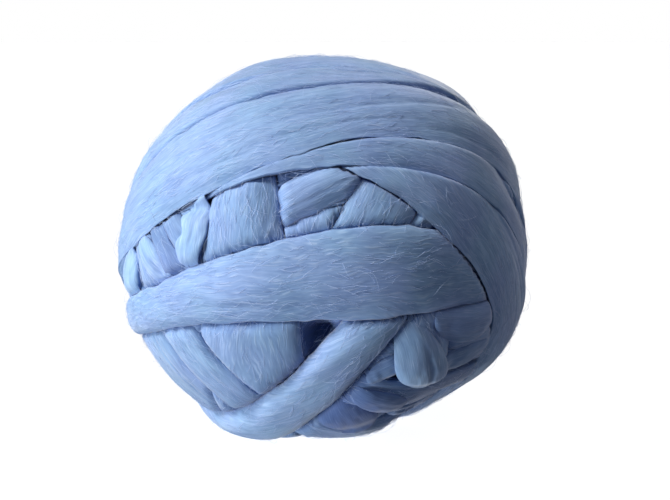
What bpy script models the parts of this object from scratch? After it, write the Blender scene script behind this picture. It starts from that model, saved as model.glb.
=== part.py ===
"""A hand-wound ball of chunky merino roving, at rest on its settled flat spot.

Metres, +Z up. The origin is under the ball's middle, on the surface it stands on, and the front faces -Y.
The roving is one thick unspun strand. Each row of TURNS is one time that it goes round the ball, and the
rows are laid in order: a later turn lies over the earlier ones, and presses them down beside it.
"""

import math
from typing import NamedTuple

import bpy
import numpy as np

MM = 0.001

# The ball's outline before it settles: half its width, depth and height, and how square its shoulders are.
HALF_SIZES = np.array([128.0, 125.0, 124.3]) * MM
SQUARENESS = 2.18
MEAN_RADIUS = 125 * MM
MIDDLE = np.array([0.8, -0.2, 118.0]) * MM
CORE_DEPTH = 22 * MM

# Where the ball's own weight flattens it: the height under which it is squeezed, and how much the floor takes.
SETTLE_BELOW = 14 * MM
FLAT_SPOT_CUT = 4.5 * MM

# How a turn lies on those under it: how far it follows them, how steeply they rise again beside it, and
# how full its own cross-section is.
CONFORM = 0.35
SHOULDER_RADIUS = 7 * MM
CROWN_POWER = 2.3

# The hand's unevenness, in place and in width, how it differs from each turn to the next, and how local a
# flare or a bend is.
WANDER = 2.2 * MM
WIDTH_WANDER = 0.05
PHASE_STEP = 2.4
NEARNESS = 8

# The turns that are all but hidden: how many, how far round each is from the one before, and their lengths in mm.
INNER_TURNS = 14
INNER_STEP = math.radians(137.5)
INNER_WIDTH = 50
INNER_THICK = 9
INNER_DEPTH = 12
INNER_RISE = 0.35

# How finely a turn's bed is measured, along it and across it, and how many times it is evened out each way.
BED_STATIONS = 96
BED_LANES = 9
EVENED_ALONG = 8
EVENED_ACROSS = 2

# How finely the solid is made, and how far its creases are rounded.
BALL_SUBDIVISIONS = 7
CREASE_SOFTENING = 0.5
CREASE_PASSES = 5
MOST_TRIANGLES = 11400

WOOL_BLUE = (0.33, 0.45, 0.76, 1.0)


class Bulge(NamedTuple):
    """A place where the hidden windings push the outline out, or leave it lower."""

    toward: tuple
    height: float  # mm, less than nothing where the outline is lower
    spread: float  # degrees


BULGES = [
    Bulge(toward=(0.58, -0.35, -0.78), height=-14, spread=24),
    Bulge(toward=(0.85, -0.10, -0.50), height=3, spread=18),
    Bulge(toward=(0.18, -0.40, -0.90), height=4, spread=16),
    Bulge(toward=(-0.75, 0.05, 0.65), height=-5, spread=22),
    Bulge(toward=(-0.98, -0.15, -0.20), height=2, spread=16),
    Bulge(toward=(0.10, 0.80, 0.45), height=3, spread=35),
]


class Turn(NamedTuple):
    """One turn of the roving. Lengths are in millimetres and angles in degrees."""

    name: str
    axis: tuple  # what the turn goes round, as a wheel goes round its axle
    shift: float  # how far along that axis the turn lies from the ball's middle
    width: float  # where it is narrowest
    flare: float  # how much wider it is where it spreads
    flare_at: float  # where that is, counted from the turn's foremost point
    bend: float  # how far it strays towards its axis' end
    bend_at: float  # where that is, counted in the same way
    thick: float  # how high its crown stands over its edges
    depth: float  # how far its crown lies under the ball's outline


TURNS = [
    # name, axis, shift, width, flare, flare_at, bend, bend_at, thick, depth
    Turn("back_upright", (0.90, 0.35, 0.20), 20, 56, 0, 0, 0, 0, 10, 6),
    Turn("back_level", (0.10, -0.45, 0.88), 22, 56, 0, 0, 0, 0, 10, 5),
    Turn("back_slope_right", (-0.62, 0.10, 0.78), 10, 48, 0, 0, 0, 0, 10, 5),
    Turn("back_slope_left", (0.58, 0.25, 0.78), 6, 48, 0, 0, 0, 0, 10, 5),
    Turn("crown_over", (0.85, -0.30, -0.42), 22, 52, 0, 0, 0, 0, 10, 4),
    Turn("under_upright", (0.99, 0.03, 0.14), 0, 50, 10, 75, 0, 0, 10, 6),
    Turn("left_level", (-0.30, 0.41, 0.86), 0, 25, 0, 0, 0, 0, 10, 3),
    Turn("right_lower", (0.32, -0.30, 0.90), -2, 30, 0, 0, 0, 0, 9, 6),
    Turn("right_upper", (0.25, -0.10, 0.96), 2, 42, 0, 0, 0, 0, 10, 4),
    Turn("slope_middle", (-0.43, 0.40, 0.81), 2, 25, 0, 0, 0, 0, 10, 3),
    Turn("teardrop", (0.88, 0.37, 0.29), 2, 12, 22, 55, 0, 0, 12, 1),
    Turn("low_right", (0.51, -0.40, 0.76), -1, 34, 0, 0, 0, 0, 10, 2),
    Turn("low_front", (0.48, -0.43, 0.76), -1, 24, 0, 0, 0, 0, 10, 3),
    Turn("fan", (0.85, -0.07, -0.51), 17, 44, 0, 0, 0, 0, 9, 2),
    Turn("left_outer", (0.40, -0.77, 0.50), -26, 46, 0, 0, 0, 0, 10, 4),
    Turn("upright", (0.98, -0.18, 0.00), -27, 28, 34, 24, 0, 0, 11, 2),
    Turn("left_slope", (0.48, -0.68, 0.55), -6, 28, 0, 0, 0, 0, 11, 2),
    Turn("diagonal", (0.75, 0.30, -0.59), 5, 33, 0, 0, 0, 0, 14, -2),
    Turn("front", (-0.09, 0.14, 0.99), -17, 22, 30, 14, -10, -92, 12, 0),
    Turn("right_edge", (-0.20, -0.97, -0.12), 0, 32, 0, 0, 0, 0, 11, 1),
    Turn("right_shoulder", (0.39, 0.68, 0.63), 4, 65, 0, 0, 0, 0, 12, 0),
    Turn("crown_back", (0.05, 0.95, 0.30), 10, 54, 0, 0, 0, 0, 11, 1),
    Turn("top_rim", (-0.13, 0.83, 0.55), -41, 26, 0, 0, 65, -110, 10, 1),
    Turn("top_back", (0.00, 0.62, 0.79), 38, 50, 0, 0, 0, 0, 11, 0),
    Turn("top", (-0.26, 0.69, 0.68), 5, 50, 0, 0, 50, -110, 12, 0),
]


def inner_turns():
    """The turns under those of the table, running every way with nothing to choose between them."""
    turns = []
    for index in range(INNER_TURNS):
        up = (index + 0.5) / INNER_TURNS
        level, around = math.sqrt(1 - up * up), index * INNER_STEP
        axis = (level * math.cos(around), level * math.sin(around), up)
        depth = INNER_DEPTH - INNER_RISE * index
        turns.append(Turn(f"inner_{index + 1}", axis, 0, INNER_WIDTH, 0, 0, 0, 0, INNER_THICK, depth))
    return turns


def unit(vectors):
    """The same vectors at length 1."""
    vectors = np.asarray(vectors, float)
    return vectors / np.linalg.norm(vectors, axis=-1, keepdims=True)


def near(along, degrees):
    """One at this angle along a turn, and falling to nothing on its far side."""
    return np.cos((along - math.radians(degrees)) / 2) ** NEARNESS


def outline_radius(directions):
    """How far the ball's outline is from its middle, in each direction."""
    shares = np.abs(directions / HALF_SIZES) ** SQUARENESS
    radius = shares.sum(axis=-1) ** (-1 / SQUARENESS)
    for bulge in BULGES:
        off = np.arccos(np.clip(directions @ unit(bulge.toward), -1, 1))
        radius = radius + bulge.height * MM * np.exp(-((off / math.radians(bulge.spread)) ** 2))
    return radius


def smoothed(bed):
    """A turn's bed evened out along the turn, which is closed, and from edge to edge."""
    for _ in range(EVENED_ALONG):
        bed = (np.roll(bed, 1, axis=0) + 2 * bed + np.roll(bed, -1, axis=0)) / 4
    for _ in range(EVENED_ACROSS):
        sides = np.pad(bed, ((0, 0), (1, 1)), mode="edge")
        bed = (sides[:, :-2] + 2 * bed + sides[:, 2:]) / 4
    return bed


class LaidTurn:
    """A turn in its place on the ball, on the bed that the earlier turns make for it."""

    def __init__(self, turn, index, laid):
        self.turn = turn
        self.phase = PHASE_STEP * index
        self.axis = unit(turn.axis)
        front = np.array([0.0, -1.0, 0.0])
        self.ahead = unit(front - (front @ self.axis) * self.axis)
        self.beside = np.cross(self.axis, self.ahead)
        self.lean = math.asin(turn.shift * MM / MEAN_RADIUS)
        self.bed = self.measure_bed(laid)

    def stray(self, along):
        """How far the turn strays from a true circle, at each angle along it."""
        uneven = np.sin(2 * along + self.phase) + 0.5 * np.sin(3 * along + 2 * self.phase)
        return WANDER * uneven + self.turn.bend * MM * near(along, self.turn.bend_at)

    def half_width(self, along):
        """Half the roving's width at each angle along the turn."""
        uneven = 1 + WIDTH_WANDER * np.sin(3 * along + self.phase)
        return (self.turn.width + self.turn.flare * near(along, self.turn.flare_at)) * uneven / 2 * MM

    def directions(self, along, side):
        """Where the point at this angle along the turn, and this far to its side, lies as seen from the middle."""
        rise = (self.lean + (self.stray(along) + side) / MEAN_RADIUS)[..., None]
        ring = np.cos(along)[..., None] * self.ahead + np.sin(along)[..., None] * self.beside
        return np.sin(rise) * self.axis + np.cos(rise) * ring

    def place(self, directions):
        """The angle along the turn, and the distance to its side, of each direction."""
        along = np.arctan2(directions @ self.beside, directions @ self.ahead)
        rise = np.arcsin(np.clip(directions @ self.axis, -1, 1)) - self.lean
        return along, rise * MEAN_RADIUS - self.stray(along)

    def measure_bed(self, laid):
        """The height that the turn's edges rest at, on a grid along and across it."""
        along = np.linspace(-math.pi, math.pi, BED_STATIONS, endpoint=False)
        along, share = np.meshgrid(along, np.linspace(-1, 1, BED_LANES), indexing="ij")
        directions = self.directions(along, share * self.half_width(along))
        level = outline_radius(directions) - (self.turn.depth + self.turn.thick) * MM
        return level + CONFORM * smoothed(wound_radius(directions, laid) - level)

    def bed_height(self, along, share):
        """The bed between its measured points."""
        station = (along + math.pi) / (2 * math.pi) * BED_STATIONS
        lane = (np.clip(share, -1, 1) + 1) / 2 * (BED_LANES - 1)
        low_station = np.floor(station).astype(int)
        low_lane = np.clip(np.floor(lane).astype(int), 0, BED_LANES - 2)
        on, over = station - low_station, lane - low_lane
        here, after = low_station % BED_STATIONS, (low_station + 1) % BED_STATIONS
        near = self.bed[here, low_lane] * (1 - over) + self.bed[here, low_lane + 1] * over
        far = self.bed[after, low_lane] * (1 - over) + self.bed[after, low_lane + 1] * over
        return near * (1 - on) + far * on

    def cover(self, directions, radius):
        """The surface once this turn lies on it: its crown inside its edges, and a pressed shoulder beside them."""
        along, side = self.place(directions)
        half = self.half_width(along)
        share = side / half
        bed = self.bed_height(along, share)
        outside = np.maximum(np.abs(side) - half, 0)
        shoulder = bed + np.sqrt(2 * SHOULDER_RADIUS * outside)
        crown = bed + self.turn.thick * MM * np.sqrt(1 - np.minimum(np.abs(share), 1) ** CROWN_POWER)
        return np.where(np.abs(share) < 1, crown, np.minimum(radius, shoulder))


def wound_radius(directions, laid):
    """How far the wool's surface is from the ball's middle, in each direction, with these turns laid."""
    radius = outline_radius(directions) - CORE_DEPTH
    for turn in laid:
        radius = turn.cover(directions, radius)
    return radius


def wind():
    """All the turns, each laid on those before it."""
    laid = []
    for index, turn in enumerate(inner_turns() + TURNS):
        laid.append(LaidTurn(turn, index, laid))
    return laid


def settle(heights):
    """Heights over the floor once the ball's weight has squeezed its underside."""
    squeezed = SETTLE_BELOW * np.exp(np.minimum(heights / SETTLE_BELOW - 1, 0))
    return np.where(heights < SETTLE_BELOW, squeezed, heights) - FLAT_SPOT_CUT


def wool_material():
    """Matt sky-blue wool."""
    material = bpy.data.materials.new("merino_wool")
    material.use_nodes = True
    surface = material.node_tree.nodes["Principled BSDF"]
    surface.inputs["Base Color"].default_value = WOOL_BLUE
    surface.inputs["Roughness"].default_value = 0.85
    surface.inputs["Metallic"].default_value = 0.0
    return material


def floor_cutter():
    """A slab whose top is the floor. It takes the ball's lowest point down to one flat face."""
    side, height = 0.4, 0.05
    bpy.ops.mesh.primitive_cube_add(size=1, location=(0, 0, -height / 2))
    cutter = bpy.context.object
    cutter.name = "floor_cutter"
    cutter.scale = (side, side, height)
    cutter.hide_render = True
    cutter.display_type = "WIRE"
    return cutter


def wool_ball():
    """The ball as one solid: a fine sphere whose points are moved out to the wool, then thinned."""
    bpy.ops.mesh.primitive_ico_sphere_add(subdivisions=BALL_SUBDIVISIONS, radius=1)
    ball = bpy.context.object
    ball.name = "wool_ball"
    mesh = ball.data
    points = np.empty(len(mesh.vertices) * 3)
    mesh.vertices.foreach_get("co", points)
    directions = unit(points.reshape(-1, 3))
    points = MIDDLE + directions * wound_radius(directions, wind())[:, None]
    points[:, 2] = settle(points[:, 2])
    mesh.vertices.foreach_set("co", points.ravel())
    mesh.materials.append(wool_material())
    mesh.shade_smooth()

    softened = ball.modifiers.new("softened", "SMOOTH")
    softened.factor = CREASE_SOFTENING
    softened.iterations = CREASE_PASSES
    thinned = ball.modifiers.new("thinned", "DECIMATE")
    thinned.ratio = MOST_TRIANGLES / len(mesh.polygons)
    flat_spot = ball.modifiers.new("flat_spot", "BOOLEAN")
    flat_spot.operation = "DIFFERENCE"
    flat_spot.object = floor_cutter()
    return ball


def main():
    for thing in list(bpy.data.objects):
        bpy.data.objects.remove(thing)
    wool_ball()


main()
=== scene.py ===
"""The looks of the wool ball: each turn of its roving as its own strand, with folds, fibres and stray hairs.

Metres, +Z up, and the front faces -Y. The winding repeats the values of the ball's solid, but that here the
diagonal turn spreads out flat behind, and some turns lie deeper in a few hollows.
"""

import math
from typing import NamedTuple

import bmesh
import bpy
import numpy as np
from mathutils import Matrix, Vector


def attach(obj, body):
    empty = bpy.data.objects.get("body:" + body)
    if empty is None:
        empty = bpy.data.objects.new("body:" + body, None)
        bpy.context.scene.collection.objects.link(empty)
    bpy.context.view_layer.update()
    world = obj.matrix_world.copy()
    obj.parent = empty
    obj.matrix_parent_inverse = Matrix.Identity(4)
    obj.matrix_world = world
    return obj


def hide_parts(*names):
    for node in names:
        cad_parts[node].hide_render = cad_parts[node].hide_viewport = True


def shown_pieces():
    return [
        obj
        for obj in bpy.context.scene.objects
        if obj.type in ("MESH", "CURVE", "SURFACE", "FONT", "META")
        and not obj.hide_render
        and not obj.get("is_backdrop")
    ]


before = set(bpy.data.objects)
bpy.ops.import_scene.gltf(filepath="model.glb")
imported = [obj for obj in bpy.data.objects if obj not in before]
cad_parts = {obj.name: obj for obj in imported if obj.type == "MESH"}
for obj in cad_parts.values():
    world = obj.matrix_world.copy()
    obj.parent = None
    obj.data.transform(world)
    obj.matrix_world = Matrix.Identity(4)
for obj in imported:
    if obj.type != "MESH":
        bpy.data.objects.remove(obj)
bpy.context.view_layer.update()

MM = 0.001

# The ball's outline before it settles: half its width, depth and height, and how square its shoulders are.
HALF_SIZES = np.array([128.0, 125.0, 124.3]) * MM
SQUARENESS = 2.18
MEAN_RADIUS = 125 * MM
MIDDLE = np.array([0.8, -0.2, 118.0]) * MM
CORE_DEPTH = 22 * MM

# Where the ball's own weight flattens it, how much the floor takes, and the wool that is pressed thin on it.
SETTLE_BELOW = 14 * MM
FLAT_SPOT_CUT = 4.5 * MM
PRESSED_BELOW = 2 * MM
LOWEST = 0.3 * MM
HAIRLESS_BELOW = 3 * MM

# How a turn lies on those under it: how far it follows them, how steeply they rise again beside it, how
# full its own cross-section is, and the air between one layer and the next.
CONFORM = 0.35
SHOULDER_RADIUS = 7 * MM
TUCK_RADIUS = 10 * MM
SEAT_DEPTH = 4.5 * MM
CROWN_POWER = 2.3
LAYER_GAP = 0.2 * MM
EASING = 6 * MM
BELLY = 4 * MM
THINNEST = 0.8 * MM
NO_LIMIT = 1.0
STEP_ON = 0.01  # the angle over which the way of its wool is measured

# Painted shade: how far wool is pressed in, or lies in a hollow, where the painted shade is at its darkest.
PAINTED_SHADE_PRESSED_IN = 5 * MM
PAINTED_SHADE_IN_HOLLOW = 14 * MM

# The hand's unevenness, in place and in width.
WANDER = 2.2 * MM
WIDTH_WANDER = 0.05
PHASE_STEP = 2.4
NEARNESS = 8

# The turns that are all but hidden.
INNER_TURNS = 14
INNER_STEP = math.radians(137.5)
INNER_WIDTH = 50
INNER_THICK = 9
INNER_DEPTH = 12
INNER_RISE = 0.35

# How finely a turn's bed is measured, along it and across it, and how many times it is evened out each way.
BED_STATIONS = 96
BED_LANES = 9
EVENED_ALONG = 8
EVENED_ACROSS = 2

# How finely a strand is made: its stations, the spacing of its lanes, and the lanes of its hidden belly.
STATIONS = 210
LANE_SPACING = 0.78 * MM
HIDDEN_TURNS = 5
HIDDEN_LANE_SPACING = 1.3 * MM
BELLY_LANES = 7
INNER_STATIONS = 100
INNER_LANES = 16
INNER_BELLY_LANES = 3
CORE_SUBDIVISIONS = 5
SKIN_SUBDIVISIONS = 7


class Bulge(NamedTuple):
    """A place where the hidden windings push the outline out, or leave it lower."""

    toward: tuple
    height: float  # mm, less than nothing where the outline is lower
    spread: float  # degrees


BULGES = [
    # toward, height, spread
    Bulge((0.58, -0.35, -0.78), -14, 24),
    Bulge((0.85, -0.10, -0.50), 3, 18),
    Bulge((0.18, -0.40, -0.90), 4, 16),
    Bulge((-0.75, 0.05, 0.65), -5, 22),
    Bulge((-0.98, -0.15, -0.20), 2, 16),
    Bulge((0.10, 0.80, 0.45), 3, 35),
]


class Turn(NamedTuple):
    """One turn of the roving. Lengths are in millimetres and angles in degrees."""

    name: str
    axis: tuple  # what the turn goes round, as a wheel goes round its axle
    shift: float  # how far along that axis the turn lies from the ball's middle
    width: float  # where it is narrowest
    flare: float  # how much wider it is where it spreads
    flare_at: float  # where that is, counted from the turn's foremost point
    bend: float  # how far it strays towards its axis' end
    bend_at: float  # where that is, counted in the same way
    thick: float  # how high its crown stands over its edges
    depth: float  # how far its crown lies under the ball's outline


TURNS = [
    # name, axis, shift, width, flare, flare_at, bend, bend_at, thick, depth
    Turn("back_upright", (0.90, 0.35, 0.20), 20, 56, 0, 0, 0, 0, 10, 6),
    Turn("back_level", (0.10, -0.45, 0.88), 22, 56, 0, 0, 0, 0, 10, 5),
    Turn("back_slope_right", (-0.62, 0.10, 0.78), 10, 48, 0, 0, 0, 0, 10, 5),
    Turn("back_slope_left", (0.58, 0.25, 0.78), 6, 48, 0, 0, 0, 0, 10, 5),
    Turn("crown_over", (0.85, -0.30, -0.42), 22, 52, 0, 0, 0, 0, 10, 4),
    Turn("under_upright", (0.99, 0.03, 0.14), 0, 50, 10, 75, 0, 0, 10, 6),
    Turn("left_level", (-0.30, 0.41, 0.86), 0, 25, 0, 0, 0, 0, 10, 3),
    Turn("right_lower", (0.32, -0.30, 0.90), -2, 30, 0, 0, 0, 0, 9, 6),
    Turn("right_upper", (0.25, -0.10, 0.96), 2, 42, 0, 0, 0, 0, 10, 4),
    Turn("slope_middle", (-0.43, 0.40, 0.81), 2, 25, 0, 0, 0, 0, 10, 3),
    Turn("teardrop", (0.88, 0.37, 0.29), 2, 12, 22, 55, 0, 0, 12, 1),
    Turn("low_right", (0.51, -0.40, 0.76), -1, 34, 0, 0, 0, 0, 10, 2),
    Turn("low_front", (0.48, -0.43, 0.76), -1, 24, 0, 0, 0, 0, 10, 3),
    Turn("fan", (0.85, -0.07, -0.51), 17, 44, 0, 0, 0, 0, 9, 2),
    Turn("left_outer", (0.40, -0.77, 0.50), -26, 46, 0, 0, 0, 0, 10, 4),
    Turn("upright", (0.98, -0.18, 0.00), -27, 28, 34, 24, 0, 0, 11, 2),
    Turn("left_slope", (0.48, -0.68, 0.55), -6, 28, 0, 0, 0, 0, 11, 2),
    Turn("diagonal", (0.75, 0.30, -0.59), 5, 33, 26, 180, 0, 0, 14, -2),
    Turn("front", (-0.09, 0.14, 0.99), -17, 22, 30, 14, -10, -92, 12, 0),
    Turn("right_edge", (-0.20, -0.97, -0.12), 0, 32, 0, 0, 0, 0, 11, 1),
    Turn("right_shoulder", (0.39, 0.68, 0.63), 4, 65, 0, 0, 0, 0, 12, 0),
    Turn("crown_back", (0.05, 0.95, 0.30), 10, 54, 0, 0, 0, 0, 11, 1),
    Turn("top_rim", (-0.13, 0.83, 0.55), -41, 26, 0, 0, 65, -110, 10, 1),
    Turn("top_back", (0.00, 0.62, 0.79), 38, 50, 0, 0, 0, 0, 11, 0),
    Turn("top", (-0.26, 0.69, 0.68), 5, 50, 0, 0, 50, -110, 12, 0),
]


class Finish(NamedTuple):
    """How the wool of a turn lies, where it differs from the rest. Lengths are in millimetres."""

    edge: float = 0.5  # how high its edges stand, as a share of its crown
    soft: float = 1.0  # over 1 where it rises from its edges in a soft slope
    seat: float = 0.8  # how high the wool beside it stands, as a share of its edges
    twist: float = 0  # how far its fibres cross over the strand in front
    folds: float = 1.0  # how many lengthwise folds it has, against the usual number
    fold_depth: float = 1.2
    relief: float = 1.0  # how much its locks of fibre stand out, against the usual height
    painted_shade: float = 0.22  # how much painted shade darkens it, from 0 to 1


PLAIN = Finish()
MATTED = Finish(soft=2.0, fold_depth=0.6, relief=0.7)
# Each turn's painted shade darkens its wool for the shade it lies in, more on some turns and less on others.
FINISHES = {
    "diagonal": Finish(edge=0.2, seat=0.4, twist=45, folds=3.0, fold_depth=1.6, painted_shade=0),
    "front": Finish(seat=0.75, twist=4, folds=0.8),
    "top": MATTED._replace(edge=0.72, seat=0.95, folds=1.1, fold_depth=0.7),
    "top_back": MATTED._replace(edge=0.94, seat=1.0),
    "top_rim": MATTED._replace(edge=0.88, seat=0.98, folds=0.9),
    "crown_back": MATTED._replace(edge=0.94, seat=1.0),
    "right_shoulder": Finish(soft=2.0, edge=0.58, seat=0.75, twist=6, folds=0.9, fold_depth=0.9, painted_shade=0.05),
    "right_edge": Finish(edge=0.55, seat=0.7, painted_shade=0.1),
    "upright": Finish(edge=0.45, seat=0.85, folds=0.9, fold_depth=0.8, painted_shade=0.34),
    "under_upright": Finish(edge=0.6, seat=0.9, folds=0.6),
    "left_slope": Finish(edge=0.45, folds=1.4, fold_depth=1.3),
    "left_outer": Finish(seat=0.85, folds=0.7),
    "low_right": Finish(edge=0.7, seat=0.85, painted_shade=0.55),
    "low_front": Finish(edge=0.7, seat=0.85, painted_shade=0.7),
    "right_upper": Finish(edge=0.7, seat=0.85, painted_shade=0.4),
    "right_lower": Finish(edge=0.7, seat=0.85, painted_shade=0.45),
}


class Hollow(NamedTuple):
    """A place where some turns lie deeper than the rest, and leave a gap that is dark with shadow and painted
    shade.
    """

    turns: list  # their names, or none where all of them do
    toward: tuple
    depth: float  # mm
    spread: float  # degrees


# The first rows of the table, up to the fan, lie under the dark gap.
UNDER_THE_GAP = [turn.name for turn in TURNS[:14]]
HOLLOWS = [
    # turns, toward, depth, spread
    Hollow(UNDER_THE_GAP, (-0.01, -0.95, -0.305), 24, 6.2),
    Hollow(["diagonal"], (0.66, 0.05, 0.75), 6, 22),
    Hollow(["diagonal"], (0.05, 0.97, 0.2), 6, 50),
    Hollow([], (0.44, -0.26, -0.86), 4, 7),
]


def inner_turns():
    """The turns under those of the table, running every way with nothing to choose between them."""
    turns = []
    for index in range(INNER_TURNS):
        up = (index + 0.5) / INNER_TURNS
        level, around = math.sqrt(1 - up * up), index * INNER_STEP
        axis = (level * math.cos(around), level * math.sin(around), up)
        depth = INNER_DEPTH - INNER_RISE * index
        turns.append(Turn(f"inner_{index + 1}", axis, 0, INNER_WIDTH, 0, 0, 0, 0, INNER_THICK, depth))
    return turns


def unit(vectors):
    """The same vectors at length 1."""
    vectors = np.asarray(vectors, float)
    return vectors / np.linalg.norm(vectors, axis=-1, keepdims=True)


def near(along, degrees):
    """One at this angle along a turn, and falling to nothing on its far side."""
    return np.cos((along - math.radians(degrees)) / 2) ** NEARNESS


def outline_radius(directions):
    """How far the ball's outline is from its middle, in each direction."""
    shares = np.abs(directions / HALF_SIZES) ** SQUARENESS
    radius = shares.sum(axis=-1) ** (-1 / SQUARENESS)
    for bulge in BULGES:
        off = np.arccos(np.clip(directions @ unit(bulge.toward), -1, 1))
        radius = radius + bulge.height * MM * np.exp(-((off / math.radians(bulge.spread)) ** 2))
    return radius


def smoothed(bed):
    """A turn's bed evened out along the turn, which is closed, and from edge to edge."""
    for _ in range(EVENED_ALONG):
        bed = (np.roll(bed, 1, axis=0) + 2 * bed + np.roll(bed, -1, axis=0)) / 4
    for _ in range(EVENED_ACROSS):
        sides = np.pad(bed, ((0, 0), (1, 1)), mode="edge")
        bed = (sides[:, :-2] + 2 * bed + sides[:, 2:]) / 4
    return bed


def blended(table, station, lane, on, over):
    """The value between four of a table's, whose stations come round to where they began."""
    here, after = station % len(table), (station + 1) % len(table)
    at_here = table[here, lane] * (1 - over) + table[here, lane + 1] * over
    at_after = table[after, lane] * (1 - over) + table[after, lane + 1] * over
    return at_here * (1 - on) + at_after * on


class LaidTurn:
    """A turn in its place on the ball, on the bed that the earlier turns make for it."""

    def __init__(self, turn, index, laid):
        self.turn = turn
        self.index = index
        self.phase = PHASE_STEP * index
        self.axis = unit(turn.axis)
        front = np.array([0.0, -1.0, 0.0])
        self.ahead = unit(front - (front @ self.axis) * self.axis)
        self.beside = np.cross(self.axis, self.ahead)
        self.lean = math.asin(turn.shift * MM / MEAN_RADIUS)
        self.finish = FINISHES.get(turn.name, PLAIN)
        self.bed = self.measure_bed(laid)

    def stray(self, along):
        """How far the turn strays from a true circle, at each angle along it."""
        uneven = np.sin(2 * along + self.phase) + 0.5 * np.sin(3 * along + 2 * self.phase)
        return WANDER * uneven + self.turn.bend * MM * near(along, self.turn.bend_at)

    def half_width(self, along):
        """Half the roving's width at each angle along the turn."""
        uneven = 1 + WIDTH_WANDER * np.sin(3 * along + self.phase)
        return (self.turn.width + self.turn.flare * near(along, self.turn.flare_at)) * uneven / 2 * MM

    def directions(self, along, side):
        """The direction of a point at this angle along the turn and this far to its side."""
        rise = (self.lean + (self.stray(along) + side) / MEAN_RADIUS)[..., None]
        ring = np.cos(along)[..., None] * self.ahead + np.sin(along)[..., None] * self.beside
        return np.sin(rise) * self.axis + np.cos(rise) * ring

    def place(self, directions):
        """The angle along the turn, and the distance to its side, of each direction."""
        along = np.arctan2(directions @ self.beside, directions @ self.ahead)
        rise = np.arcsin(np.clip(directions @ self.axis, -1, 1)) - self.lean
        return along, rise * MEAN_RADIUS - self.stray(along)

    def measure_bed(self, laid):
        """The height that the turn's edges rest at, on a grid along and across it."""
        along = np.linspace(-math.pi, math.pi, BED_STATIONS, endpoint=False)
        along, share = np.meshgrid(along, np.linspace(-1, 1, BED_LANES), indexing="ij")
        directions = self.directions(along, share * self.half_width(along))
        level = outline_radius(directions) - (self.turn.depth + self.turn.thick) * MM
        return level + CONFORM * smoothed(wound_radius(directions, laid) - level)

    def bed_height(self, along, share):
        """The bed between its measured points."""
        station = (along + math.pi) / (2 * math.pi) * BED_STATIONS
        lane = (np.clip(share, -1, 1) + 1) / 2 * (BED_LANES - 1)
        low_station = np.floor(station).astype(int)
        low_lane = np.clip(np.floor(lane).astype(int), 0, BED_LANES - 2)
        return blended(self.bed, low_station, low_lane, station - low_station, lane - low_lane)

    def cover(self, directions, radius):
        """The surface once this turn lies on it: a crown inside its edges and a pressed shoulder beside."""
        along, side = self.place(directions)
        half = self.half_width(along)
        share = side / half
        bed = self.bed_height(along, share)
        outside = np.maximum(np.abs(side) - half, 0)
        shoulder = bed + np.sqrt(2 * SHOULDER_RADIUS * outside)
        crown = bed + self.turn.thick * MM * fullness(share)
        return np.where(np.abs(share) < 1, crown, np.minimum(radius, shoulder))

    def lie(self, directions, radius, run):
        """The visible surface once this turn lies on it, and the way that its wool runs."""
        along, side = self.place(directions)
        half = self.half_width(along)
        bed = self.bed_height(along, side / half) - self.hollow(directions)
        thick = self.turn.thick * MM
        edge = self.finish.edge
        full = fullness(side / half) ** self.finish.soft
        crown = bed + thick * (edge + (1 - edge) * full)
        outside = np.abs(side) - half
        rise = self.seat(outside) + np.sqrt(2 * TUCK_RADIUS * np.maximum(outside, 0))
        beside = eased_least(radius, bed + rise)
        onward = unit(self.directions(along + STEP_ON, side) - self.directions(along, side))
        on_it = outside < 0
        return np.where(on_it, crown, beside), np.where(on_it[..., None], onward, run)

    def hollow(self, directions):
        """How much deeper than the rest the turn lies in each direction."""
        depth = np.zeros(directions.shape[:-1])
        for hollow in HOLLOWS:
            if not hollow.turns or self.turn.name in hollow.turns:
                off = np.arccos(np.clip(directions @ unit(hollow.toward), -1, 1))
                depth += hollow.depth * MM * np.exp(-((off / math.radians(hollow.spread)) ** 2))
        return depth

    def press(self, directions, limit):
        """How far earlier wool can still stand out, in each direction, once this turn presses on it."""
        along, side = self.place(directions)
        half = self.half_width(along)
        bed = self.bed_height(along, side / half) - self.hollow(directions)
        outside = np.abs(side) - half
        seat = self.seat(outside)
        beside = np.minimum(limit, bed + seat + np.sqrt(2 * TUCK_RADIUS * np.maximum(outside, 0)))
        return np.where(outside < 0, np.minimum(limit, bed + seat) - LAYER_GAP, beside)

    def seat(self, outside):
        """How high over the turn's bed the wool beside it stands, falling away under the turn's edge."""
        full = self.turn.thick * MM * self.finish.edge * self.finish.seat
        return full * np.clip(1 + outside / SEAT_DEPTH, 0, 1)


def fullness(share):
    """How high a strand's crown stands, from 1 in its middle to 0 at its edges."""
    return np.sqrt(1 - np.minimum(np.abs(share), 1) ** CROWN_POWER)


def wound_radius(directions, laid):
    """How far the wool's surface is from the ball's middle, in each direction, with these turns laid."""
    radius = outline_radius(directions) - CORE_DEPTH
    for turn in laid:
        radius = turn.cover(directions, radius)
    return radius


def visible_surface(directions, laid):
    """The visible surface in each direction, and the way that its wool runs."""
    radius = outline_radius(directions) - CORE_DEPTH
    run = np.zeros_like(directions)
    for turn in laid:
        radius, run = turn.lie(directions, radius, run)
    return radius, run


def wind():
    """All the turns, each laid on those before it."""
    laid = []
    for index, turn in enumerate(inner_turns() + TURNS):
        laid.append(LaidTurn(turn, index, laid))
    return laid


def pressed_limit(directions, later):
    """How far wool can stand out, in each direction, under all the turns that were laid later."""
    limit = np.full(directions.shape[:-1], NO_LIMIT)
    for turn in reversed(later):
        limit = turn.press(directions, limit)
    return limit


def eased_least(height, limit):
    """The lower of two heights, rounded where they meet."""
    share = np.clip(0.5 + 0.5 * (limit - height) / EASING, 0, 1)
    return limit * (1 - share) + height * share - EASING * share * (1 - share)


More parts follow.
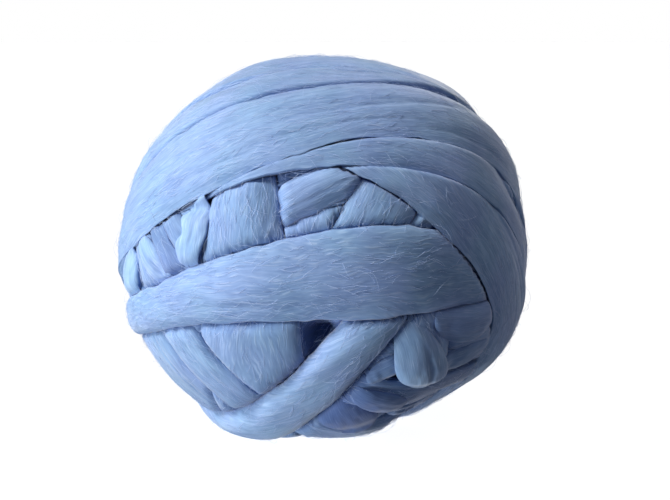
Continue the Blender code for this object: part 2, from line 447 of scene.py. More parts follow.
def settled(points):
    """Points moved down as the ball's weight squeezes its underside against the floor."""
    heights = points[..., 2]
    squeezed = SETTLE_BELOW * np.exp(np.minimum(heights / SETTLE_BELOW - 1, 0))
    heights = np.where(heights < SETTLE_BELOW, squeezed, heights) - FLAT_SPOT_CUT
    room = PRESSED_BELOW - LOWEST
    thin = LOWEST + room * np.exp(np.minimum((heights - PRESSED_BELOW) / room, 0))
    points[..., 2] = np.where(heights < PRESSED_BELOW, thin, heights)
    return points


# The locks of fibre on a strand: the height of each kind in millimetres, how many go round the turn, and how
# wide they are, and how sharply they end at its edges.
FIBRE_LOCKS = ((0.7, 13, 14), (0.3, 25, 6), (0.14, 60, 2))
LOCKS_END = 8
LOCKS_SEED = 100

# A strand's ragged edges in the same way, how near to them that is felt, and how unevenly high they stand.
RAGGED_EDGES = ((1.1, 48, 1), (0.6, 120, 1))
RAGGED_END = 4
EDGE_UNEVEN = 0.35
EDGE_CELLS = 17
EDGE_CELL_SIZE = 2 * MM
EDGE_SEED = 500

# Lengthwise folds: where they begin and how far they wander, as shares of half the width, how often they
# wander and fade, how much shows, and the millimetres of a steep and a gentle side.
FOLD_SPACING = 9 * MM
FOLD_START = 0.8
FOLD_WANDER = 0.22
FOLD_WANDER_CELLS = 7
FOLD_DEPTH_CELLS = 9
FOLD_SHOWS = 0.35
FOLD_STEEP_SIDE = (0.9, 1.3)
FOLD_GENTLE_SIDE = (2.0, 4.0)

# How far fibres drift over a strand, in millimetres, and how far apart two strands' patterns are.
SLOW_DRIFT = 3.0
QUICK_DRIFT = 1.5
FIBRES_APART = 0.31

# A strand's lanes lie closer at its edges: the even part of their places, and the other part.
EVEN_LANES = 0.65
CLOSE_LANES = 0.35


def soft_noise(random, along, across, cells, size):
    """Soft random heights from -1 to 1, with so many cells round the turn and each cell this wide."""
    station = (along / (2 * math.pi) + 0.5) * cells
    lane = across / size
    lane = lane - math.floor(lane.min())
    table = random.uniform(-1, 1, (cells, int(lane.max()) + 2))
    low_station, low_lane = np.floor(station).astype(int), np.floor(lane).astype(int)
    on, over = station - low_station, lane - low_lane
    on, over = on * on * (3 - 2 * on), over * over * (3 - 2 * over)
    return blended(table, low_station, low_lane, on, over)


def unevenness(random, along, across, layers):
    """Random heights of several sizes together, in millimetres."""
    total = np.zeros_like(along)
    for height, cells, size in layers:
        total += height * soft_noise(random, along, across, cells, size * MM)
    return total


def crease(random, along, across, spread, twist):
    """One lengthwise fold that wanders over the strand, strong in places and gone in others."""
    level = np.zeros_like(along)
    start = random.uniform(-FOLD_START, FOLD_START) * spread + random.uniform(-1, 1) * twist
    wander = soft_noise(random, along, level, FOLD_WANDER_CELLS, MM) * FOLD_WANDER * spread
    depth = np.maximum(soft_noise(random, along, level, FOLD_DEPTH_CELLS, MM) + FOLD_SHOWS, 0)
    off = (across - start - wander) / MM
    steep, gentle = random.uniform(*FOLD_STEEP_SIDE), random.uniform(*FOLD_GENTLE_SIDE)
    if random.random() < 0.5:
        off = -off
    steep_side = np.exp(np.minimum(off, 0) / steep)
    gentle_side = np.exp(-np.maximum(off, 0) / gentle)
    return -depth * np.where(off < 0, steep_side, gentle_side)


def fibre_relief(turn, along, share, across):
    """How far the strand's surface stands out or in, for its locks of fibre and its folds."""
    random = np.random.default_rng(LOCKS_SEED + turn.index)
    spread = turn.turn.width / 2 * MM
    finish = turn.finish
    relief = unevenness(random, along, across, FIBRE_LOCKS) * finish.relief
    for _ in range(1 + int(finish.folds * spread / FOLD_SPACING)):
        relief += finish.fold_depth * crease(random, along, across, spread, finish.twist * MM)
    return relief * MM * (1 - np.abs(share) ** LOCKS_END)


def flow(turn, along, across):
    """The sideways place of the fibre at a point, for fibres that drift over the strand."""
    drift = SLOW_DRIFT * np.sin(along + turn.phase) + QUICK_DRIFT * np.sin(3 * along + 2 * turn.phase)
    return across + (drift + turn.finish.twist * np.sin(along)) * MM


def strand_points(turn, later, stations, lanes, belly_lanes):
    """A strand's points round its crown and belly, the places of their fibres, and their painted shade."""
    even = np.linspace(-1, 1, lanes)
    crown = EVEN_LANES * even + CLOSE_LANES * np.sin(even * math.pi / 2)
    belly = np.linspace(1, -1, belly_lanes + 2)[1:-1]
    along = np.linspace(-math.pi, math.pi, stations, endpoint=False)
    along, share = np.meshgrid(along, np.concatenate([crown, belly]), indexing="ij")
    is_belly = np.arange(share.shape[1]) >= lanes
    half = turn.half_width(along)
    random = np.random.default_rng(EDGE_SEED + turn.index)
    ragged = unevenness(random, along, np.sign(share) * MM, RAGGED_EDGES)
    side = share * half + ragged * MM * np.sign(share) * share ** RAGGED_END
    directions = turn.directions(along, side)
    hollow = turn.hollow(directions)
    bed = turn.bed_height(along, share) - hollow
    full = fullness(share)
    across = flow(turn, along, share * turn.turn.width / 2 * MM)
    relief = fibre_relief(turn, along, share, across)
    thick = turn.turn.thick * MM
    uneven = 1 + EDGE_UNEVEN * soft_noise(random, along, share * MM, EDGE_CELLS, EDGE_CELL_SIZE)
    edge = thick * turn.finish.edge * uneven
    free = bed + edge + (thick - edge) * full ** turn.finish.soft + relief
    top = eased_least(free, pressed_limit(directions, later))
    # Painted shade, from 0 to 1, in creases where later turns press the wool in, and in hollows.
    tucked = np.clip((free - top) / PAINTED_SHADE_PRESSED_IN, 0, 1) + np.clip(hollow / PAINTED_SHADE_IN_HOLLOW, 0, 1)
    # The turn's own painted shade is added, and the hidden belly is in full painted shade.
    tucked = np.where(is_belly, 1, np.minimum(tucked + turn.finish.painted_shade, 1))
    under = np.minimum(bed + edge - (BELLY + edge) * full, top - THINNEST * full)
    radius = np.where(is_belly, under, top)
    points = settled(MIDDLE + directions * radius[..., None])
    across = across + FIBRES_APART * turn.index
    places = np.stack([MEAN_RADIUS * np.cos(along), MEAN_RADIUS * np.sin(along), across], axis=-1)
    return points, places, tucked


def ring_faces(stations, lanes):
    """The quads of a closed strand, whose stations and lanes both come round to where they began."""
    station, lane = np.meshgrid(np.arange(stations), np.arange(lanes), indexing="ij")
    after, beside = (station + 1) % stations, (lane + 1) % lanes
    corners = [station * lanes + lane, after * lanes + lane, after * lanes + beside, station * lanes + beside]
    return np.stack(corners, axis=-1).reshape(-1, 4)


def dress(mesh, places, tucked, material):
    """Gives a mesh the places of its fibres, the painted shade on its wool, and its material."""
    mesh.attributes.new("lay", "FLOAT_VECTOR", "POINT").data.foreach_set("vector", places.ravel())
    mesh.attributes.new("tucked", "FLOAT", "POINT").data.foreach_set("value", tucked.ravel())
    mesh.materials.append(material)
    mesh.shade_smooth()


def set_out(name, data):
    """A mesh, a light or a camera as a thing in the scene."""
    piece = bpy.data.objects.new(name, data)
    bpy.context.scene.collection.objects.link(piece)
    return piece


def strand_mesh(name, shells, material):
    """One piece from the grids of points of one or more closed strands."""
    points, places, painted_shade_masks, faces, count = [], [], [], [], 0
    for grid, lay, tucked in shells:
        points.append(grid.reshape(-1, 3))
        places.append(lay.reshape(-1, 3))
        painted_shade_masks.append(tucked.ravel())
        faces.append(ring_faces(*grid.shape[:2]) + count)
        count += len(points[-1])
    faces = np.concatenate(faces)
    mesh = bpy.data.meshes.new(name)
    mesh.vertices.add(count)
    mesh.vertices.foreach_set("co", np.concatenate(points).ravel())
    mesh.loops.add(faces.size)
    mesh.loops.foreach_set("vertex_index", faces.ravel())
    mesh.polygons.add(len(faces))
    mesh.polygons.foreach_set("loop_start", np.arange(0, faces.size, 4))
    mesh.update(calc_edges=True)
    dress(mesh, np.concatenate(places), np.concatenate(painted_shade_masks), material)
    return set_out(name, mesh)


def hand_in(piece):
    """Ties a finished piece to the ball."""
    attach(piece, "root")
    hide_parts("wool_ball")


class Pattern(NamedTuple):
    """A random pattern in the wool. Lengths are in metres."""

    length: float  # along the fibres
    width: float  # across them
    detail: float  # how much finer pattern is in it


# The fibres' waves and their wandering, and how far each moves them to the side.
WAVES = Pattern(0.012, 0.005, 1.0)
WAVES_REACH = 0.0008
WANDERING = Pattern(0.060, 0.016, 1.0)
WANDERING_REACH = 0.0040

# The fibres' shades, and how much the broad fibres count.
FINE_FIBRES = Pattern(0.014, 0.0006, 2.0)
BROAD_FIBRES = Pattern(0.045, 0.0030, 2.0)
BROAD_SHARE = 0.45
SHADE_RANGE = (0.32, 0.68)
SHADES = ((0.146, 0.267, 0.545, 1), (0.270, 0.440, 0.768, 1))

# Single fibres that catch the light.
BRIGHT_FIBRES = Pattern(0.009, 0.0004, 0.0)
BRIGHT_RANGE = (0.55, 0.80)
BRIGHT_COLOUR = (0.46, 0.64, 0.93, 1)
BRIGHT_STRENGTH = 0.45

# Lighter and darker patches, and patches of a greener and a pinker blue.
CLOUDS = Pattern(0.013, 0.013, 3.0)
CLOUD_RANGE = (0.3, 0.7)
CLOUD_STRENGTH = 0.07
TINTS = Pattern(0.035, 0.035, 1.0)
TINT_RANGE = (0.35, 0.65)
GREENER = (0.98, 1.015, 0.99, 1)
PINKER = (1.035, 0.975, 1.02, 1)

# Painted shade: what multiplies the colour where the wool has its painted shade.
PAINTED_SHADE_COLOUR = (0.30, 0.38, 0.55, 1)

# How far and how clearly single fibres stand out, and how much more the bright ones do.
FIBRE_HEIGHT = 0.0006
FIBRE_CLEARNESS = 0.36
BRIGHT_HEIGHT = 0.35


def wire(tree, node, inputs):
    """Gives each of these inputs of a node a value, or another node's output."""
    for name, given in inputs.items():
        if isinstance(given, bpy.types.NodeSocket):
            tree.links.new(given, node.inputs[name])
        else:
            node.inputs[name].default_value = given


def add_node(tree, kind, inputs=None, **settings):
    """The outputs of a new node with these inputs and settings."""
    node = tree.nodes.new(kind)
    for name, setting in settings.items():
        setattr(node, name, setting)
    wire(tree, node, inputs or {})
    return node.outputs


def patterned(tree, vector, pattern):
    """A value from 0 to 1 that changes from place to place in this pattern."""
    scale = (1 / pattern.length, 1 / pattern.length, 1 / pattern.width)
    stretched = add_node(tree, "ShaderNodeMapping", {"Vector": vector, "Scale": scale})["Vector"]
    inputs = {"Vector": stretched, "Scale": 1.0, "Detail": pattern.detail, "Roughness": 0.6}
    return add_node(tree, "ShaderNodeTexNoise", inputs)["Fac"]


def ranged(tree, value, given, wanted):
    """A value moved from one range to another, and kept inside it."""
    inputs = {"Value": value, "From Min": given[0], "From Max": given[1]}
    inputs |= {"To Min": wanted[0], "To Max": wanted[1]}
    return add_node(tree, "ShaderNodeMapRange", inputs)["Result"]


def summed(tree, first, second):
    """Two values added up."""
    return add_node(tree, "ShaderNodeMath", {0: first, 1: second}, operation="ADD")["Value"]


def ramp(tree, value, places, colours):
    """The colour that a value gives, between two colours at these two places."""
    node = tree.nodes.new("ShaderNodeValToRGB")
    wire(tree, node, {"Fac": value})
    for end, (place, colour) in enumerate(zip(places, colours)):
        node.color_ramp.elements[end].position = place
        node.color_ramp.elements[end].color = colour
    return node.outputs["Color"]


def mixed(tree, share, first, second, way="MIX"):
    """A colour with this share of a second one mixed into it, or multiplied."""
    inputs = {"Factor": share, "A": first, "B": second}
    return add_node(tree, "ShaderNodeMix", inputs, data_type="RGBA", blend_type=way)["Result"]


def fibre_places(tree):
    """The place of each point among the fibres, which are wavy and wander."""
    lay = add_node(tree, "ShaderNodeAttribute", attribute_name="lay")["Vector"]
    waves = ranged(tree, patterned(tree, lay, WAVES), (0, 1), (-WAVES_REACH, WAVES_REACH))
    wandering = patterned(tree, lay, WANDERING)
    wandering = ranged(tree, wandering, (0, 1), (-WANDERING_REACH, WANDERING_REACH))
    sideways = add_node(tree, "ShaderNodeCombineXYZ", {"Z": summed(tree, waves, wandering)})["Vector"]
    return add_node(tree, "ShaderNodeVectorMath", {0: lay, 1: sideways}, operation="ADD")["Vector"]


def surfaced(name):
    """A new material, and its surface."""
    material = bpy.data.materials.new(name)
    material.use_nodes = True
    return material, material.node_tree.nodes["Principled BSDF"]


def plain_material(name, colour, roughness, gloss):
    """A material of one colour."""
    material, surface = surfaced(name)
    inputs = {"Base Color": colour, "Roughness": roughness, "Specular IOR Level": gloss}
    wire(material.node_tree, surface, inputs)
    return material


def merino():
    """Combed, unspun wool: fine wavy fibres side by side, soft and a little silky."""
    material, surface = surfaced("merino_wool")
    tree = material.node_tree
    fibres = fibre_places(tree)
    kinds = {"A": patterned(tree, fibres, FINE_FIBRES), "B": patterned(tree, fibres, BROAD_FIBRES)}
    kinds["Factor"] = BROAD_SHARE
    shade = add_node(tree, "ShaderNodeMix", kinds, data_type="FLOAT")["Result"]
    bright = ranged(tree, patterned(tree, fibres, BRIGHT_FIBRES), BRIGHT_RANGE, (0, 1))
    place = add_node(tree, "ShaderNodeTexCoord")["Object"]
    cloud = ranged(tree, patterned(tree, place, CLOUDS), CLOUD_RANGE, (-CLOUD_STRENGTH, CLOUD_STRENGTH))
    tint = ranged(tree, patterned(tree, place, TINTS), TINT_RANGE, (0, 1))
    tucked = add_node(tree, "ShaderNodeAttribute", attribute_name="tucked")["Fac"]

    colour = ramp(tree, summed(tree, shade, cloud), SHADE_RANGE, SHADES)
    colour = mixed(tree, ranged(tree, bright, (0, 1), (0, BRIGHT_STRENGTH)), colour, BRIGHT_COLOUR)
    colour = mixed(tree, 1.0, colour, mixed(tree, tint, GREENER, PINKER), "MULTIPLY")
    # Painted shade darkens the colour in creases, in hollows and on parts of the ball that lie in shade.
    colour = mixed(tree, tucked, colour, PAINTED_SHADE_COLOUR, "MULTIPLY")
    height = {0: bright, 1: BRIGHT_HEIGHT, 2: shade}
    height = add_node(tree, "ShaderNodeMath", height, operation="MULTIPLY_ADD")["Value"]
    bump = {"Height": height, "Strength": FIBRE_CLEARNESS, "Distance": FIBRE_HEIGHT}
    wire(tree, surface, {
        "Base Color": colour,
        "Normal": add_node(tree, "ShaderNodeBump", bump)["Normal"],
        "Roughness": 0.7,
        "Specular IOR Level": 0.3,
        "Sheen Weight": 0.28,
        "Sheen Roughness": 0.5,
        "Sheen Tint": (1.0, 0.98, 0.94, 1.0),
    })
    return material


class Lock(NamedTuple):
    """A short lock of wool that lies on the turns. Lengths are in millimetres."""

    name: str
    start: tuple  # where it begins and ends, as seen from the ball's middle
    end: tuple
    width: float
    widest: float  # where it is widest, as a share of its length
    thick: float
    groove: float  # how deep the groove along its middle is
    painted_shade: float  # how much painted shade darkens it, from 0 to 1
    under: tuple  # the turns that lie over it
    slant: float = 0  # how far its right side is drawn on past its left, as a share of its width


# The cheeks and low lobes get painted shade for the shade that falls low on the ball's front.
LOCKS = [
    # name, start, end, width, widest, thick, groove, painted_shade, under, slant
    Lock("cheek_upper", (0.50, -0.84, -0.20), (0.80, -0.55, -0.22), 30, 0.5, 5.0, 0, 0.35,
         ("front", "right_edge", "right_shoulder")),
    Lock("cheek_lower", (0.50, -0.73, -0.46), (0.80, -0.45, -0.38), 16, 0.5, 4.0, 0, 0.45,
         ("right_edge", "right_shoulder")),
    Lock("cheek_left", (0.20, -0.84, -0.50), (0.42, -0.83, -0.36), 15, 0.5, 4.0, 0, 0.6, ("diagonal",)),
    Lock("low_lobe_right", (0.10, -0.84, -0.535), (0.40, -0.64, -0.66), 17, 0.55, 3.0, 0, 0.9, ("diagonal",)),
    Lock("low_lobe_left", (0.05, -0.81, -0.585), (0.16, -0.56, -0.81), 36, 0.6, 5.0, 0, 1.0,
         ("diagonal",), 0.2),
    Lock("teardrop_end", (0.389, -0.907, -0.16), (0.468, -0.675, -0.571), 33, 0.64, 6.5, 2.0, 0,
         ("front", "diagonal"), 0.42),
    Lock("left_lobe", (-0.845, -0.52, 0.135), (-0.69, -0.715, -0.10), 17, 0.45, 4.0, 2.0, 0,
         ("front", "top")),
    Lock("left_lens", (-0.57, -0.72, 0.40), (-0.62, -0.785, 0.02), 22, 0.5, 3.0, 0.8, 0, ("front", "top")),
    Lock("left_knob", (-0.92, -0.37, 0.09), (-0.90, -0.39, -0.20), 24, 0.5, 5.0, 0, 0, ("front", "top")),
]
LOCK_STATIONS = 60
LOCK_LANES = 68

# A lock's shape: how blunt its ends, how full its top and how deep its underside is, how far short of a point
# its ends stop, and how many times the wool under it is evened out.
LOCK_BLUNTNESS = 0.45
LOCK_FULLNESS = 0.8
LOCK_UNDERSIDE = 4 * MM
LOCK_END = 1e-4
LOCK_EVENED = 12

# Its fibres: how much they stand out, and how many and how wide they are.
LOCK_RELIEF = 0.35
LOCK_CELLS = 30
LOCK_CELL_SIZE = 2.5 * MM
LOCK_STRETCH = 2
LOCK_FIBRES_APART = 5
LOCK_SEED = 900

# Its groove: where it lies across and along the lock, how far it spreads, and how much painted shade darkens
# it.
GROOVE_SIDE = 0.2
GROOVE_SIDE_SPREAD = 0.09
GROOVE_ON = 0.6
GROOVE_ON_SPREAD = 0.22
GROOVE_PAINTED_SHADE = 0.4
TINY = 1e-9


def lock_points(lock, laid):
    """A lock's points round its top and underside, the places of their fibres, and their painted shade."""
    start, end = unit(lock.start), unit(lock.end)
    length = math.acos(float(start @ end))
    aside = unit(np.cross(start, end))
    onward = np.cross(aside, start)
    share_on = (1 - np.cos(np.linspace(0, math.pi, LOCK_STATIONS))) / 2
    round_it = np.linspace(0, 2 * math.pi, LOCK_LANES, endpoint=False)
    on, turn_angle = np.meshgrid(share_on, round_it, indexing="ij")
    side, height = np.cos(turn_angle), np.sin(turn_angle)
    on_top = height > 0

    power = math.log(0.5) / math.log(lock.widest)
    fill = np.sin(math.pi * np.clip(on, LOCK_END, 1 - LOCK_END) ** power) ** LOCK_BLUNTNESS
    across = side * (lock.width / 2 * MM * fill)
    middle = np.cos(on * length)[..., None] * start + np.sin(on * length)[..., None] * onward
    along = np.cos(on * length)[..., None] * onward - np.sin(on * length)[..., None] * start
    directions = unit(middle + (across / MEAN_RADIUS)[..., None] * (aside + lock.slant * along))
    radius, _ = visible_surface(middle, laid)
    for _ in range(LOCK_EVENED):
        radius[1:-1] = (radius[:-2] + 2 * radius[1:-1] + radius[2:]) / 4

    random = np.random.default_rng(LOCK_SEED + len(lock.name))
    fibres = soft_noise(random, on * LOCK_STRETCH, across + MM * on, LOCK_CELLS, LOCK_CELL_SIZE)
    relief = LOCK_RELIEF * fibres * MM
    from_side, from_on = (side - GROOVE_SIDE) / GROOVE_SIDE_SPREAD, (on - GROOVE_ON) / GROOVE_ON_SPREAD
    groove = lock.groove * MM * np.exp(-(from_side ** 2) - from_on ** 2)
    crown = lock.thick * MM * np.maximum(height, 0) ** LOCK_FULLNESS
    top = radius + (crown + (relief - groove) * on_top) * fill
    turns = {turn.turn.name: turn for turn in laid}
    top = eased_least(top, pressed_limit(directions, [turns[name] for name in lock.under]))
    low = radius - LOCK_UNDERSIDE * np.maximum(-height, 0) * fill
    points = settled(MIDDLE + directions * np.where(on_top, top, np.minimum(low, top))[..., None])

    along = on * length * MEAN_RADIUS
    places = np.stack([along, np.zeros_like(along), across + LOCK_FIBRES_APART + len(lock.name)], axis=-1)
    # Painted shade: the lock's own, more along its groove, and full on its underside.
    groove_share = groove / (lock.groove * MM + TINY)
    tucked = np.where(on_top, np.clip(lock.painted_shade + GROOVE_PAINTED_SHADE * groove_share, 0, 1), 1)
    return points, places, tucked


def lock_piece(lock, laid, material):
    """One lock as a closed piece of its own."""
    points, places, tucked = lock_points(lock, laid)
    stations, lanes = points.shape[:2]
    faces = ring_faces(stations, lanes).reshape(stations, lanes, 4)[:-1].reshape(-1, 4)
    mesh = bpy.data.meshes.new(lock.name)
    ends = [list(range(lanes)), list(range(stations * lanes - 1, (stations - 1) * lanes - 1, -1))]
    mesh.from_pydata(points.reshape(-1, 3).tolist(), [], faces.tolist() + ends)
    work = bmesh.new()
    work.from_mesh(mesh)
    bmesh.ops.recalc_face_normals(work, faces=work.faces)
    work.to_mesh(mesh)
    work.free()
    dress(mesh, places, tucked, material)
    return set_out(lock.name, mesh)


class Hairs(NamedTuple):
    """One kind of loose fibre on the ball. Lengths are in millimetres and angles in degrees."""

    name: str
    per_square_metre: float
    length: float
    thickness: float  # across
    lift: float  # how far its middle stands off the wool
    sway: float  # how far it strays sideways, as a share of its length
    astray: float  # how far it can turn from the way of the wool
    joints: int
    seed: int


HAIRS = [
    # name, per_square_metre, length, thickness, lift, sway, astray, joints, seed
    Hairs("short_fibres", 40000, 10, 0.14, 0.35, 0.13, 26, 4, 3),
    Hairs("stray_hairs", 8000, 15, 0.10, 0.8, 0.32, 55, 7, 5),
]


# What a tree of hairs is given.
HAIR_INPUTS = {"Surface": "NodeSocketGeometry", "Density": "NodeSocketFloat", "Length": "NodeSocketFloat",
               "Thickness": "NodeSocketFloat", "Seed": "NodeSocketInt"}

# How far each kind of hair sways, first and then again, as shares of its sway.
HAIR_BENDS = ((1, 1), (1, -1), (-1, -0.4))
HAIR_HANDLE = 0.2  # how far from its middle it sways, as a share of its length
HAIR_ARCH = 1.35  # how high a hair is arched, against how far it stands off
HAIR_SIDES = 3
HAIR_SIZES = (0.55, 1.35)  # the shortest and the longest, against the usual one
HAIR_ROLL = math.pi / 3
HAIR_TILT = math.radians(5)


def hair_kinds(tree, hairs, given):
    """One hair of each kind, as curved tubes to pick from."""
    outline = {"Resolution": HAIR_SIDES, "Radius": given["Thickness"]}
    outline = add_node(tree, "GeometryNodeCurvePrimitiveCircle", outline, mode="RADIUS")["Curve"]
    length = {axis: given["Length"] for axis in "XYZ"}
    length = add_node(tree, "ShaderNodeCombineXYZ", length)["Vector"]
    arch = HAIR_ARCH * hairs.lift / hairs.length
    kinds = tree.nodes.new("GeometryNodeJoinGeometry")
    for first, second in HAIR_BENDS:
        curve = {
            "Resolution": hairs.joints - 1,
            "Start": (-0.5, 0, -arch),
            "Start Handle": (-HAIR_HANDLE, first * hairs.sway, arch),
            "End Handle": (HAIR_HANDLE, second * hairs.sway, arch),
            "End": (0.5, 0, -arch),
        }
        curve = add_node(tree, "GeometryNodeCurvePrimitiveBezierSegment", curve)["Curve"]
        curve = add_node(tree, "GeometryNodeTransform", {"Geometry": curve, "Scale": length})["Geometry"]
        tube = {"Curve": curve, "Profile Curve": outline, "Fill Caps": True}
        tube = add_node(tree, "GeometryNodeCurveToMesh", tube)["Mesh"]
        single = add_node(tree, "GeometryNodeGeometryToInstance", {"Geometry": tube})["Instances"]
        wire(tree, kinds, {"Geometry": single})
    return kinds.outputs["Geometry"]


def hair_tree(hairs, material):
    """Geometry nodes that lay curved hairs over a surface, the way its wool runs."""
    tree = bpy.data.node_groups.new(hairs.name, "GeometryNodeTree")
    for name, kind in HAIR_INPUTS.items():
        tree.interface.new_socket(name, in_out="INPUT", socket_type=kind)
    tree.interface.new_socket("Hairs", in_out="OUTPUT", socket_type="NodeSocketGeometry")
    given = tree.nodes.new("NodeGroupInput").outputs
    made = tree.nodes.new("NodeGroupOutput")

    scatter = {"Mesh": given["Surface"], "Density": given["Density"], "Seed": given["Seed"]}
    scatter = add_node(tree, "GeometryNodeDistributePointsOnFaces", scatter)
    run = add_node(tree, "GeometryNodeInputNamedAttribute", {"Name": "run"}, data_type="FLOAT_VECTOR")
    laid = {"Primary Axis": scatter["Normal"], "Secondary Axis": run["Attribute"]}
    laid = add_node(tree, "FunctionNodeAxesToRotation", laid, primary_axis="Z", secondary_axis="X")
    most = (HAIR_ROLL, HAIR_TILT, math.radians(hairs.astray))
    turned = {"Min": tuple(-angle for angle in most), "Max": most, "Seed": given["Seed"]}
    turned = add_node(tree, "FunctionNodeRandomValue", turned, data_type="FLOAT_VECTOR")["Value"]
    turned = {"Rotation": laid["Rotation"], "Rotate By": turned}
    turned = add_node(tree, "FunctionNodeRotateRotation", turned, rotation_space="LOCAL")["Rotation"]

    size = {2: HAIR_SIZES[0], 3: HAIR_SIZES[1]}
    pick = {4: 0, 5: len(HAIR_BENDS) - 1}
    placed = add_node(tree, "GeometryNodeInstanceOnPoints", {
        "Points": scatter["Points"],
        "Instance": hair_kinds(tree, hairs, given),
        "Pick Instance": True,
        "Instance Index": add_node(tree, "FunctionNodeRandomValue", pick, data_type="INT")[2],
        "Rotation": turned,
        "Scale": add_node(tree, "FunctionNodeRandomValue", size, data_type="FLOAT")[1],
    })
    real = add_node(tree, "GeometryNodeRealizeInstances", {"Geometry": placed["Instances"]})
    finish = {"Geometry": real["Geometry"], "Material": material}
    finish = add_node(tree, "GeometryNodeSetMaterial", finish)["Geometry"]
    wire(tree, made, {"Hairs": finish})
    return tree


def round_piece(subdivisions):
    """A round piece, and the direction of each of its points."""
    bpy.ops.mesh.primitive_ico_sphere_add(subdivisions=subdivisions, radius=1)
    piece = bpy.context.object
    points = np.empty(len(piece.data.vertices) * 3)
    piece.data.vertices.foreach_get("co", points)
    return piece, unit(points.reshape(-1, 3))


def skin(laid):
    """The ball's visible surface clear of the floor, with the way that its wool runs at each point."""
    piece, directions = round_piece(SKIN_SUBDIVISIONS)
    mesh = piece.data
    radius, run = visible_surface(directions, laid)
    mesh.vertices.foreach_set("co", settled(MIDDLE + directions * radius[:, None]).ravel())
    mesh.update()
    mesh.attributes.new("run", "FLOAT_VECTOR", "POINT").data.foreach_set("vector", run.ravel())
    work = bmesh.new()
    work.from_mesh(mesh)
    low = [corner for corner in work.verts if corner.co.z < HAIRLESS_BELOW]
    bmesh.ops.delete(work, geom=low, context="VERTS")
    work.to_mesh(mesh)
    work.free()
    return piece


def hairs_piece(hairs, laid, material):
    """One kind of loose fibre, all over the ball."""
    piece = skin(laid)
    tree = hair_tree(hairs, material)
    values = {"Density": float(hairs.per_square_metre), "Length": hairs.length * MM,
              "Thickness": hairs.thickness / 2 * MM, "Seed": hairs.seed}
    modifier = piece.modifiers.new("hairs", "NODES")
    modifier.node_group = tree
    for socket in tree.interface.items_tree:
        if socket.name in values:
            modifier[socket.identifier] = values[socket.name]
    seen = piece.evaluated_get(bpy.context.evaluated_depsgraph_get())
    mesh = bpy.data.meshes.new_from_object(seen)
    piece.modifiers.remove(modifier)
    bpy.data.objects.remove(piece)
    mesh.shade_smooth()
    return set_out(hairs.name, mesh)


def core_piece(laid, material):
    """The wool far inside, which closes the ball behind the gaps between its turns, in full painted shade."""
    piece, directions = round_piece(CORE_SUBDIVISIONS)
    piece.name = "heart"
    radius = np.minimum(outline_radius(directions) - CORE_DEPTH, pressed_limit(directions, laid))
    points = settled(MIDDLE + directions * radius[:, None])
    piece.data.vertices.foreach_set("co", points.ravel())
    # Full painted shade all over, so the gaps between the turns look dark.
    dress(piece.data, points, np.ones(len(points)), material)
    return piece


# A loose fibre is paler than the wool in the mass.
FIBRE_COLOUR = (0.46, 0.60, 0.90, 1)


def ball():
    """All the pieces of the ball."""
    wool = merino()
    laid = wind()
    hand_in(core_piece(laid, wool))
    inner = []
    for index, turn in enumerate(laid[:INNER_TURNS]):
        inner.append(strand_points(turn, laid[index + 1:], INNER_STATIONS, INNER_LANES, INNER_BELLY_LANES))
    hand_in(strand_mesh("inner_turns", inner, wool))
    for index, turn in enumerate(laid[INNER_TURNS:], INNER_TURNS):
        spacing = HIDDEN_LANE_SPACING if index < INNER_TURNS + HIDDEN_TURNS else LANE_SPACING
        lanes = int((turn.turn.width + turn.turn.flare / 2) * MM / spacing)
        grid = strand_points(turn, laid[index + 1:], STATIONS, lanes, BELLY_LANES)
        hand_in(strand_mesh(f"turn_{turn.turn.name}", [grid], wool))
    for lock in LOCKS:
        hand_in(lock_piece(lock, laid, wool))
    fibre = plain_material("loose_fibre", FIBRE_COLOUR, 0.5, 0.4)
    for hairs in HAIRS:
        hand_in(hairs_piece(hairs, laid, fibre))


FLOOR_SIZE = 30
FLOOR_COLOUR = (0.92, 0.92, 0.92, 1)


def floor():
    """A plain pale floor, which throws no light back on the ball."""
    bpy.ops.mesh.primitive_plane_add(size=FLOOR_SIZE)
    piece = bpy.context.object
    piece.name = "floor"
    piece.data.materials.append(plain_material("pale_floor", FLOOR_COLOUR, 0.9, 0.1))
    piece.visible_diffuse = False
    piece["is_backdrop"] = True
    return piece


class Sun(NamedTuple):
    """A broad, soft light from far away."""

    name: str
    towards: tuple  # the way that it shines
    strength: float
    softness: float  # degrees
    colour: tuple
    on: str = "wool"
    alone: bool = False  # whether nothing else throws a shadow in it


SUNS = [
    # name, towards, strength, softness, colour, on, alone
    Sun("daylight", (0.71, 0.20, -0.68), 4.5, 25, (1.0, 0.95, 0.84)),
    Sun("window", (0.85, 0.35, 0.40), 3.1, 26, (1.0, 0.985, 0.91), "wool", True),
    Sun("sky", (-0.05, 0.32, -0.94), 0.4, 60, (1.0, 0.96, 0.90)),
    Sun("far_window", (-0.33, -0.94, -0.05), 1.6, 60, (1.0, 0.96, 0.88)),
    Sun("floor_light", (0, 0, -1), 3.2, 60, (1.0, 1.0, 1.0), "stage", True),
]

# The room's light: where it is brightest, and its colours, the first away from there.
ROOM_BRIGHTEST = (0.55, -0.60, 0.58)
ROOM_RANGE = (0.1, 1.0)
ROOM_COLOURS = ((0.030, 0.042, 0.062, 1), (0.25, 0.22, 0.20, 1))


def hang(sun):
    """Puts one of the suns in the scene."""
    data = bpy.data.lights.new(sun.name, "SUN")
    data.energy = sun.strength
    data.angle = math.radians(sun.softness)
    data.color = sun.colour
    lamp = set_out(sun.name, data)
    lamp.rotation_euler = Vector(sun.towards).to_track_quat("-Z", "Y").to_euler()
    return lamp


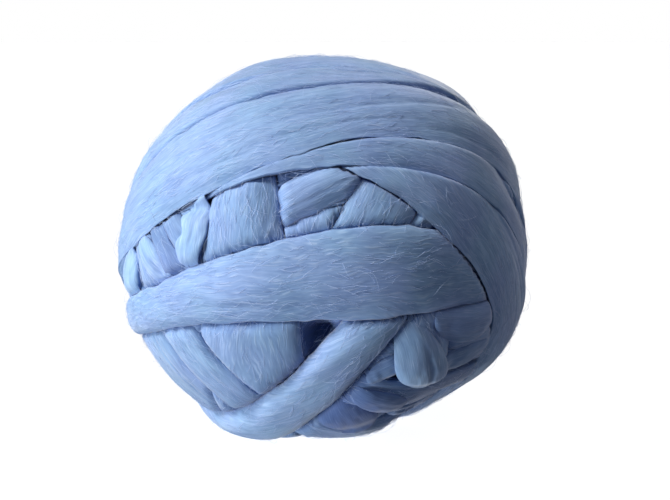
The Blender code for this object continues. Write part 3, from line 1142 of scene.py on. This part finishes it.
def room():
    """Dim bluish light from all round, warmer and brighter from the upper right, and a white background."""
    world = bpy.data.worlds.new("pale_room")
    world.use_nodes = True
    tree = world.node_tree
    place = add_node(tree, "ShaderNodeTexCoord")["Generated"]
    side = {0: place, 1: unit(ROOM_BRIGHTEST)}
    side = add_node(tree, "ShaderNodeVectorMath", side, operation="DOT_PRODUCT")["Value"]
    background = tree.nodes["Background"]
    wire(tree, background, {"Color": ramp(tree, side, ROOM_RANGE, ROOM_COLOURS)})
    white = add_node(tree, "ShaderNodeBackground", {"Color": (1, 1, 1, 1), "Strength": 1.0})
    both = {1: background.outputs["Background"], 2: white["Background"]}
    both["Fac"] = add_node(tree, "ShaderNodeLightPath")["Is Camera Ray"]
    both = add_node(tree, "ShaderNodeMixShader", both)["Shader"]
    wire(tree, tree.nodes["World Output"], {"Surface": both})
    bpy.context.scene.world = world
    bpy.context.scene.view_settings.view_transform = "Standard"


def light(floor_piece):
    """Light on the ball from the upper and lower left, above and behind, and even light on the floor."""
    groups = {name: bpy.data.collections.new(name) for name in ("stage", "wool")}
    groups["stage"].objects.link(floor_piece)
    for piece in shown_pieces():
        groups["wool"].objects.link(piece)
    for sun in SUNS:
        linking = hang(sun).light_linking
        linking.receiver_collection = groups[sun.on]
        if sun.alone:
            linking.blocker_collection = groups[sun.on]
    room()


# The photograph's view: how far above level it looks from, how far away, and where the ball's middle falls.
VIEW_RISE = math.radians(8)
VIEW_DISTANCE = 1.105
FOCAL_PIXELS = 1693
FRAME_PIXELS = (670, 500)
MIDDLE_PIXEL = (324, 251)
SENSOR_WIDTH = 36


def camera():
    """The photograph's view of the ball."""
    middle = Vector((MIDDLE[0], MIDDLE[1], MIDDLE[2] - FLAT_SPOT_CUT))
    back = Vector((0, -math.cos(VIEW_RISE), math.sin(VIEW_RISE)))
    right = Vector((1, 0, 0))
    up = back.cross(right)
    pixel = VIEW_DISTANCE / FOCAL_PIXELS
    eye = middle + back * VIEW_DISTANCE
    aim = middle + right * (FRAME_PIXELS[0] / 2 - MIDDLE_PIXEL[0]) * pixel
    aim = aim - up * (FRAME_PIXELS[1] / 2 - MIDDLE_PIXEL[1]) * pixel
    data = bpy.data.cameras.new("camera")
    data.sensor_width = SENSOR_WIDTH
    data.lens = FOCAL_PIXELS / FRAME_PIXELS[0] * SENSOR_WIDTH
    piece = set_out("camera", data)
    piece.location = eye
    piece.rotation_euler = (aim - eye).to_track_quat("-Z", "Y").to_euler()
    bpy.context.scene.camera = piece


camera()
ball()
light(floor())
